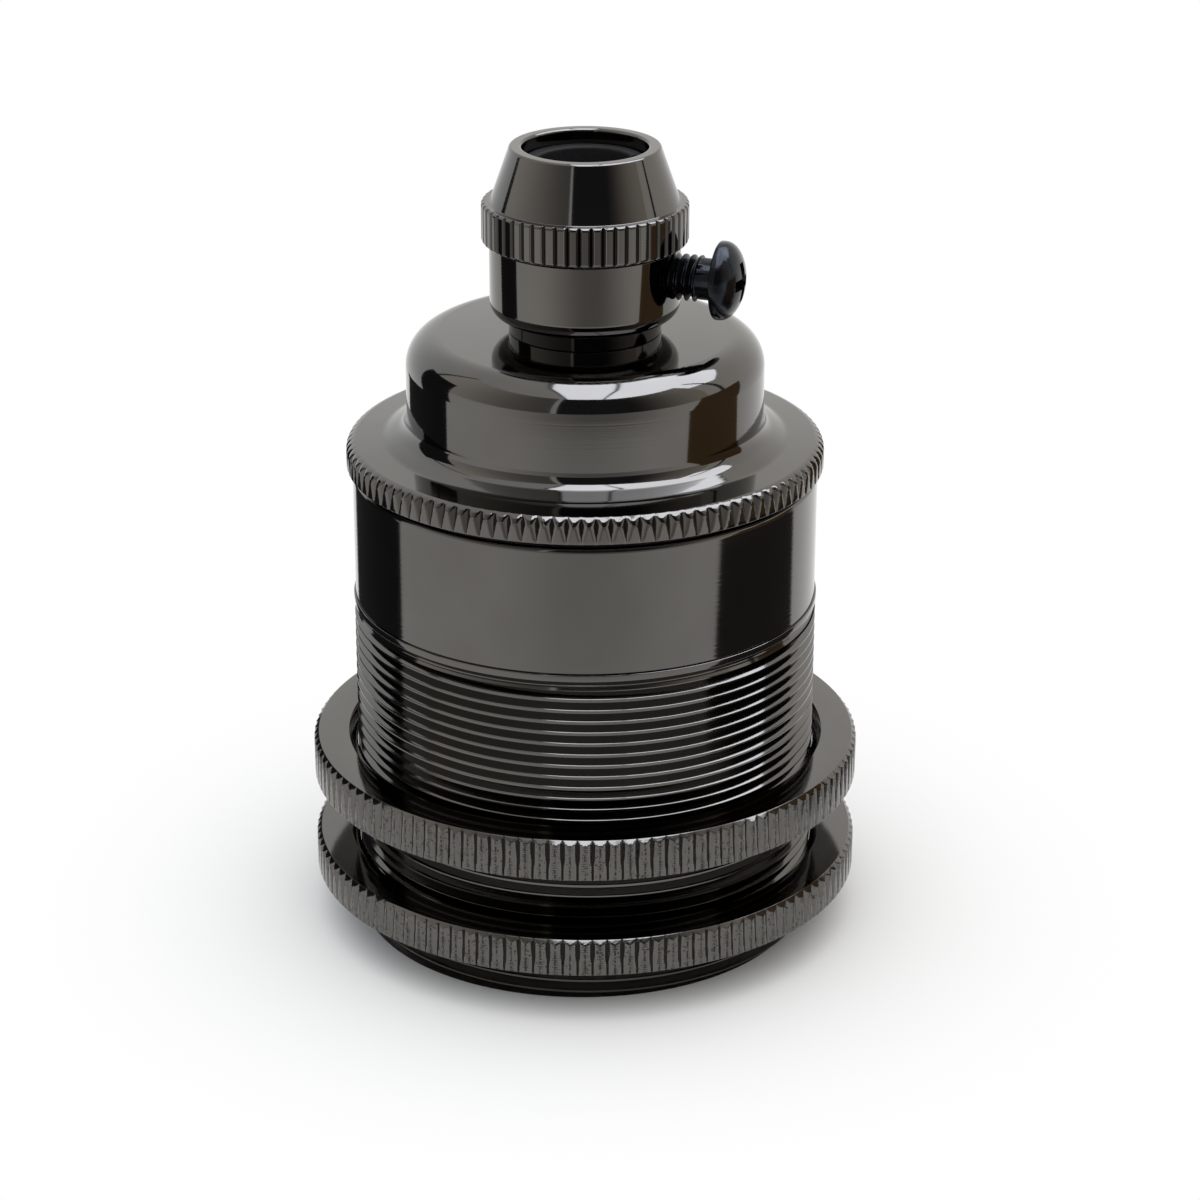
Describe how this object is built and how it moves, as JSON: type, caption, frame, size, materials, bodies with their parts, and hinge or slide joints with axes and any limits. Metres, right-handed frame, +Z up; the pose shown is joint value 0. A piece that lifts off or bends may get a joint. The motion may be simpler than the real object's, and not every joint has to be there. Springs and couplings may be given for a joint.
{
  "type": "lamp holder",
  "caption": "Vintage screw lamp holder: cord grip with side screw, stepped cap, part-threaded sleeve, knurled shade rings and a porcelain core with wire terminals.",
  "frame": {"origin": "centre of the sleeve's lower end, on the surface that the holder stands on", "axes": "+Z up along the holder's axis, from the lamp's mouth to the cord grip; the clamp screw points to +X, turned 18 degrees towards -Y"},
  "size_m": [0.0478, 0.0478, 0.0691],
  "materials": {
    "black_nickel": "polished black nickel plate",
    "black_nickel_knurl": "black nickel plate over cut knurling",
    "black_screw": "blackened steel",
    "black_plastic": "moulded nylon",
    "zinc_steel": "zinc plate",
    "bare_brass": "turned brass",
    "porcelain": "glazed white porcelain",
    "nickel_sheet": "nickel-plated sheet",
    "contact_bronze": "phosphor bronze sheet"
  },
  "bodies": {
    "base": {"outer_sleeve": "black_nickel", "porcelain_body": "porcelain", "screw_shell": "nickel_sheet", "centre_contact": "contact_bronze", "live_terminal": "bare_brass", "neutral_terminal": "bare_brass", "live_rivet": "bare_brass", "neutral_rivet": "bare_brass"},
    "cap_group": {"cap": "black_nickel", "cord_grip": "black_nickel", "grip_liner": "black_plastic", "threaded_nipple": "zinc_steel", "lock_nut": "zinc_steel", "star_washer": "zinc_steel", "earth_tag": "bare_brass"},
    "upper_ring": {"upper_shade_ring": "black_nickel_knurl"},
    "lower_ring": {"lower_shade_ring": "black_nickel_knurl"},
    "side_screw": {"clamp_screw": "black_screw"},
    "button": {"contact_button": "contact_bronze"},
    "live_wire_screw": {"live_screw": "zinc_steel"},
    "neutral_wire_screw": {"neutral_screw": "zinc_steel"},
    "earth_wire_screw": {"earth_screw": "zinc_steel"}
  },
  "joints": [
    {"name": "cap_lift", "type": "slide", "parent": "base", "child": "cap_group", "axis": [0, 0, 1], "range_m": [0, 0.03]},
    {"name": "upper_ring_travel", "type": "slide", "parent": "base", "child": "upper_ring", "axis": [0, 0, 1], "range_m": [-0.0026, 0.0112]},
    {"name": "lower_ring_travel", "type": "slide", "parent": "base", "child": "lower_ring", "axis": [0, 0, 1], "range_m": [-0.0043, 0.0026]},
    {"name": "clamp_screw_travel", "type": "slide", "parent": "cap_group", "child": "side_screw", "axis": [0.9511, -0.309, 0], "range_m": [-0.0015, 0.0012]},
    {"name": "contact_press", "type": "slide", "parent": "base", "child": "button", "axis": [0, 0, 1], "range_m": [0, 0.0015], "stiffness_N_per_m": 800, "deforming": ["centre_contact"]},
    {"name": "live_screw_travel", "type": "slide", "parent": "base", "child": "live_wire_screw", "axis": [0, 0, 1], "range_m": [-0.0012, 0.0016]},
    {"name": "neutral_screw_travel", "type": "slide", "parent": "base", "child": "neutral_wire_screw", "axis": [0, 0, 1], "range_m": [-0.0012, 0.0016]},
    {"name": "earth_screw_travel", "type": "slide", "parent": "cap_group", "child": "earth_wire_screw", "axis": [0, -1, 0], "range_m": [0, 0.0012]}
  ]
}
